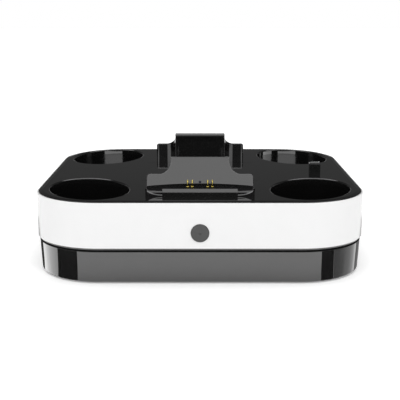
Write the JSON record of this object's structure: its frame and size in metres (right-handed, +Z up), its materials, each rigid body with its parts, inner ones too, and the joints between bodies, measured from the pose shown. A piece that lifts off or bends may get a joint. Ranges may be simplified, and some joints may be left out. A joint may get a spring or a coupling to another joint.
{
  "type": "controller charging dock",
  "caption": "Low rounded-square charging dock: black deck with leaning oval wells and back-to-back wedge cradles with spring pins, in a white band on a black base.",
  "frame": {"origin": "on the table, under the middle of the dock", "axes": "+X to the right, +Y to the rear, +Z up; the button faces -Y"},
  "size_m": [0.2, 0.191, 0.0677],
  "materials": {
    "black_gloss": "polished black plastic",
    "white_gloss": "polished white plastic",
    "well_black": "black plastic, slightly softer than the deck",
    "cradle_black": "satin black plastic",
    "button_grey": "satin dark grey plastic",
    "gold": "gold plating",
    "lens": "clear dark plastic",
    "board": "green lacquered board",
    "inner_black": "plain black plastic",
    "steel": "zinc-plated steel",
    "rubber": "black rubber"
  },
  "bodies": {
    "case": {"base_shell": "black_gloss", "button_switch": "inner_black", "case_screw_front_left": "steel", "case_screw_front_right": "steel", "case_screw_rear_left": "steel", "case_screw_rear_right": "steel", "front_contact_board": "board", "front_cradle": "cradle_black", "front_pin_barrel_1": "gold", "front_pin_barrel_2": "gold", "front_pin_barrel_3": "gold", "front_pin_barrel_4": "gold", "front_sense_lens": "lens", "inlet_pin": "steel", "main_board": "board", "power_inlet": "inner_black", "rear_contact_board": "board", "rear_cradle": "cradle_black", "rear_pin_barrel_1": "gold", "rear_pin_barrel_2": "gold", "rear_pin_barrel_3": "gold", "rear_pin_barrel_4": "gold", "rear_sense_lens": "lens", "rubber_foot_front_left": "rubber", "rubber_foot_front_right": "rubber", "rubber_foot_rear_left": "rubber", "rubber_foot_rear_right": "rubber", "side_tab": "black_gloss", "switch_board": "board", "top_deck": "black_gloss", "well_cup_front_left": "well_black", "well_cup_front_right": "well_black", "well_cup_rear_left": "well_black", "well_cup_rear_right": "well_black", "well_terminal_front_left": "gold", "well_terminal_front_right": "gold", "well_terminal_rear_left": "gold", "well_terminal_rear_right": "gold", "white_band": "white_gloss"},
    "front_pin_1": {"front_pin_plunger_1": "gold"},
    "front_pin_2": {"front_pin_plunger_2": "gold"},
    "front_pin_3": {"front_pin_plunger_3": "gold"},
    "front_pin_4": {"front_pin_plunger_4": "gold"},
    "rear_pin_1": {"rear_pin_plunger_1": "gold"},
    "rear_pin_2": {"rear_pin_plunger_2": "gold"},
    "rear_pin_3": {"rear_pin_plunger_3": "gold"},
    "rear_pin_4": {"rear_pin_plunger_4": "gold"},
    "button": {"front_button": "button_grey"}
  },
  "joints": [
    {"name": "front_pin_1_press", "type": "slide", "parent": "case", "child": "front_pin_1", "axis": [0, 0, -1], "range_m": [0, 0.0022], "stiffness_N_per_m": 250, "springref_m": -0.0008},
    {"name": "front_pin_2_press", "type": "slide", "parent": "case", "child": "front_pin_2", "axis": [0, 0, -1], "range_m": [0, 0.0022], "stiffness_N_per_m": 250, "springref_m": -0.0008},
    {"name": "front_pin_3_press", "type": "slide", "parent": "case", "child": "front_pin_3", "axis": [0, 0, -1], "range_m": [0, 0.0022], "stiffness_N_per_m": 250, "springref_m": -0.0008},
    {"name": "front_pin_4_press", "type": "slide", "parent": "case", "child": "front_pin_4", "axis": [0, 0, -1], "range_m": [0, 0.0022], "stiffness_N_per_m": 250, "springref_m": -0.0008},
    {"name": "rear_pin_1_press", "type": "slide", "parent": "case", "child": "rear_pin_1", "axis": [0, 0, -1], "range_m": [0, 0.0022], "stiffness_N_per_m": 250, "springref_m": -0.0008},
    {"name": "rear_pin_2_press", "type": "slide", "parent": "case", "child": "rear_pin_2", "axis": [0, 0, -1], "range_m": [0, 0.0022], "stiffness_N_per_m": 250, "springref_m": -0.0008},
    {"name": "rear_pin_3_press", "type": "slide", "parent": "case", "child": "rear_pin_3", "axis": [0, 0, -1], "range_m": [0, 0.0022], "stiffness_N_per_m": 250, "springref_m": -0.0008},
    {"name": "rear_pin_4_press", "type": "slide", "parent": "case", "child": "rear_pin_4", "axis": [0, 0, -1], "range_m": [0, 0.0022], "stiffness_N_per_m": 250, "springref_m": -0.0008},
    {"name": "button_press", "type": "slide", "parent": "case", "child": "button", "axis": [0, 1, 0], "range_m": [0, 0.0008], "stiffness_N_per_m": 1500, "springref_m": -0.0004}
  ]
}
